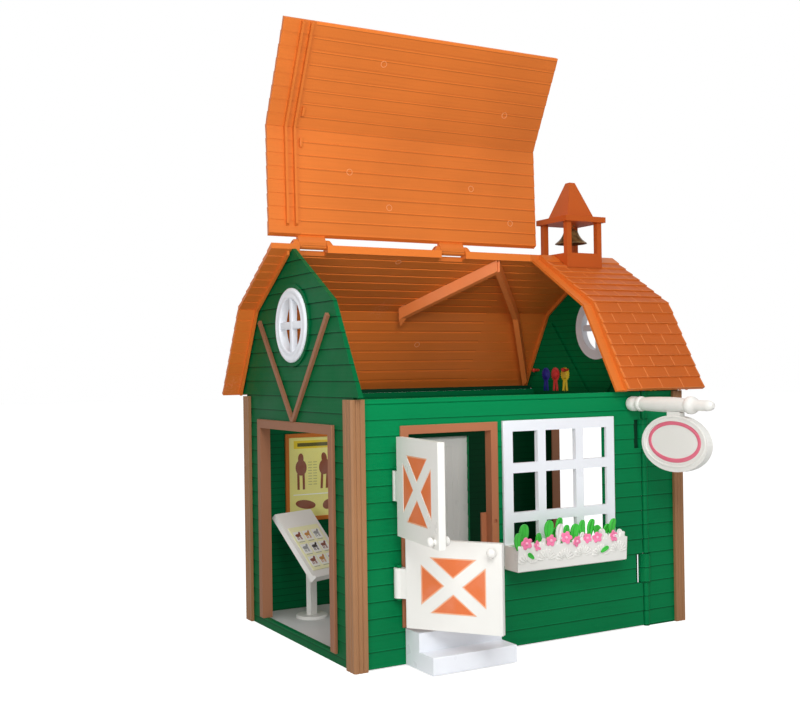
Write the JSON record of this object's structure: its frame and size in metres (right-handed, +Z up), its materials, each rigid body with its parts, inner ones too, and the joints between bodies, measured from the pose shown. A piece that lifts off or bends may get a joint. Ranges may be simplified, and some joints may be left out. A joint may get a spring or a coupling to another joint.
{
  "type": "toy barn with opening roof, front wall and dutch doors",
  "caption": "Open toy barn with a lift-up gambrel roof, swinging front wall, Dutch doors, flower-box window, hanging sign and bell cupola.",
  "frame": {"origin": "centre of the underside of the barn", "axes": "+Z up, -Y out of the front wall, +X along the ridge towards the hinge post and the cupola"},
  "size_m": [0.407, 0.3721, 0.5761],
  "materials": {
    "green_wall": "satin moulded plastic",
    "orange_roof": "satin moulded plastic",
    "brown_trim": "satin moulded plastic",
    "white_trim": "satin moulded plastic",
    "orange_panel": "painted plastic",
    "grey_floor": "moulded plastic",
    "bell_metal": "aged",
    "leaf_green": "painted plastic",
    "petal_pink": "painted plastic",
    "printed_card": "printed sheet",
    "ribbon": "painted plastic"
  },
  "bodies": {
    "barn": {"floor_tray": "grey_floor", "left_gable": "green_wall", "right_gable": "green_wall", "rear_wall": "green_wall", "front_side_panel": "green_wall", "front_left_post": "brown_trim", "front_right_post": "brown_trim", "rear_left_post": "brown_trim", "rear_right_post": "brown_trim", "left_doorway_trim": "brown_trim", "right_doorway_trim": "brown_trim", "left_gable_brace": "brown_trim", "right_gable_brace": "brown_trim", "left_round_window": "white_trim", "right_round_window": "white_trim", "rear_roof": "orange_roof", "fixed_front_roof": "orange_roof", "roof_brace": "orange_roof", "lid_hinge_pins": "orange_roof", "cupola_frame": "orange_roof", "cupola_roof": "orange_roof", "bell_pin": "bell_metal", "poster_frame": "brown_trim", "poster_sheet": "printed_card", "chart_stand": "white_trim", "chart_card": "printed_card", "prize_rosettes": "ribbon", "coat_pegs": "petal_pink"},
    "front_wall": {"front_panel": "green_wall", "door_frame": "brown_trim", "window_frame": "white_trim", "flower_box": "white_trim", "flower_foliage": "leaf_green", "flower_blossoms": "petal_pink", "door_steps": "white_trim", "sign_arm": "white_trim", "sign_plate": "white_trim"},
    "upper_leaf": {"upper_door": "white_trim", "upper_door_inlays": "orange_panel", "upper_door_knobs": "white_trim"},
    "lower_leaf": {"lower_door": "white_trim", "lower_door_inlays": "orange_panel", "lower_door_knobs": "white_trim"},
    "lid": {"roof_lid": "orange_roof"},
    "bell_body": {"bell": "bell_metal"},
    "clapper_body": {"clapper": "bell_metal"},
    "rear_leaf": {"rear_door": "white_trim", "rear_door_knob": "white_trim"}
  },
  "joints": [
    {"name": "front_wall_hinge", "type": "hinge", "parent": "barn", "child": "front_wall", "pos_m": [0.1377, -0.1205, 0.115], "axis": [0, 0, 1], "range_deg": [0, 90]},
    {"name": "upper_door_hinge", "type": "hinge", "parent": "front_wall", "child": "upper_leaf", "pos_m": [-0.1425, -0.126, 0.1555], "axis": [0, 0, -1], "range_deg": [-97, 68]},
    {"name": "lower_door_hinge", "type": "hinge", "parent": "front_wall", "child": "lower_leaf", "pos_m": [-0.1425, -0.126, 0.0725], "axis": [0, 0, -1], "range_deg": [-53, 112]},
    {"name": "roof_lid_hinge", "type": "hinge", "parent": "barn", "child": "lid", "pos_m": [-0.1, 0.00631, 0.37656], "axis": [1, 0, 0], "range_deg": [0, 123.1]},
    {"name": "bell_swing", "type": "hinge", "parent": "barn", "child": "bell_body", "pos_m": [0.146, 0, 0.407], "axis": [0, 1, 0], "range_deg": [-35, 35]},
    {"name": "clapper_swing", "type": "hinge", "parent": "bell_body", "child": "clapper_body", "pos_m": [0.146, 0, 0.3991], "axis": [0, 1, 0], "range_deg": [-40, 40]},
    {"name": "rear_door_hinge", "type": "hinge", "parent": "barn", "child": "rear_leaf", "pos_m": [-0.002, 0.126, 0.094], "axis": [0, 0, 1], "range_deg": [0, 110]}
  ]
}
